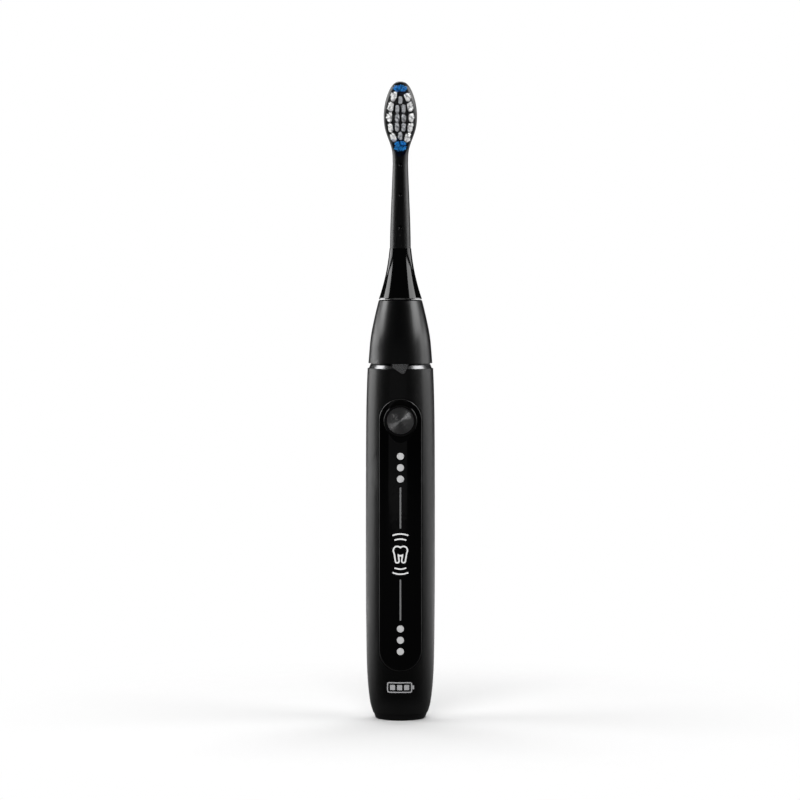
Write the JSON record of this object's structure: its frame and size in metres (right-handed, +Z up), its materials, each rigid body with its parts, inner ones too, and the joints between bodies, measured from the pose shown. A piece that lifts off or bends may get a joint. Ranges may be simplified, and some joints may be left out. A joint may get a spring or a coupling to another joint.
{
  "type": "electric toothbrush",
  "caption": "Sonic electric toothbrush standing on its own flat base: sealed round handle with button and status lights, and a pull-off oval brush head.",
  "frame": {"origin": "centre of the flat foot that the handle stands on, at the mouth of the charging well", "axes": "+Z runs up the handle's axis to the brush head; the button and the bristles face -Y; +X is to the right seen from the front"},
  "size_m": [0.0266, 0.0268, 0.245],
  "materials": {
    "satin_black": "satin, very fine bead-blast grain",
    "gloss_black": "polished",
    "dark_chrome": "polished, slightly dark",
    "bright_chrome": "polished",
    "spun_metal": "circular spin brushing, dark anodised",
    "diffuser": "milky",
    "seal_rubber": "matt",
    "foam": "foam",
    "frame_plastic": "moulded",
    "board": "solder mask",
    "chip_black": "moulded",
    "ceramic": "fired",
    "led": "clear over yellow",
    "battery_wrap": "shrink film",
    "nickel": "plain",
    "steel": "ground",
    "motor_cap": "moulded",
    "bronze": "sintered",
    "lamination": "stacked sheets",
    "copper": "enamelled wire",
    "ferrite": "fired",
    "magnet": "nickel plated",
    "lead_red": "insulation",
    "socket_plastic": "moulded",
    "bristle_white": "nylon filaments",
    "bristle_grey": "nylon filaments",
    "bristle_blue": "nylon filaments"
  },
  "bodies": {
    "handle": {"housing": "satin_black", "collar": "satin_black", "bottom_cap": "satin_black", "front_panel": "gloss_black", "button_cup": "gloss_black", "trim_ring": "dark_chrome", "mode_light_guide": "diffuser", "charge_light_guide": "diffuser", "collar_seal": "seal_rubber", "shaft_seal": "seal_rubber", "bottom_seal": "seal_rubber", "button_seal": "seal_rubber", "motor_damper_front": "seal_rubber", "motor_damper_rear": "seal_rubber", "battery_pad": "foam", "inner_frame": "frame_plastic", "coil_bobbin": "frame_plastic", "circuit_board": "board", "board_chips": "chip_black", "tact_switch": "chip_black", "board_passives": "ceramic", "mode_lights": "led", "charge_lights": "led", "battery_cell": "battery_wrap", "battery_tab_top": "nickel", "battery_tab_bottom": "nickel", "board_screws": "steel", "motor_can": "steel", "return_spring": "steel", "motor_front_cap": "motor_cap", "motor_rear_cap": "motor_cap", "front_bearing": "bronze", "rear_bearing": "bronze", "stator_core": "lamination", "charging_coil": "copper", "stator_coils": "copper", "ferrite_plate": "ferrite", "motor_leads": "lead_red", "coil_leads": "lead_red"},
    "drive": {"drive_shaft": "steel", "rotor_core": "lamination", "rotor_magnets": "magnet", "shaft_clip": "steel"},
    "button": {"power_button": "spun_metal", "button_stem": "frame_plastic", "switch_plunger": "frame_plastic"},
    "brush_head": {"head_body": "satin_black", "head_skirt": "gloss_black", "head_ring": "bright_chrome", "head_socket": "socket_plastic", "socket_clip": "steel", "outer_tufts": "bristle_white", "inner_tufts": "bristle_grey", "end_tufts": "bristle_blue", "tuft_anchors": "steel"}
  },
  "joints": [
    {"name": "drive_swing", "type": "hinge", "parent": "handle", "child": "drive", "pos_m": [0, 0, 0.1], "axis": [0, 0, 1], "range_deg": [-6, 6], "stiffness_Nm_per_rad": 0.02},
    {"name": "head_pull", "type": "slide", "parent": "drive", "child": "brush_head", "axis": [0, 0, 1], "range_m": [0, 0.024]},
    {"name": "button_press", "type": "slide", "parent": "handle", "child": "button", "axis": [0, 1, 0], "range_m": [0, 0.0004], "stiffness_N_per_m": 400, "springref_m": -0.0005}
  ]
}
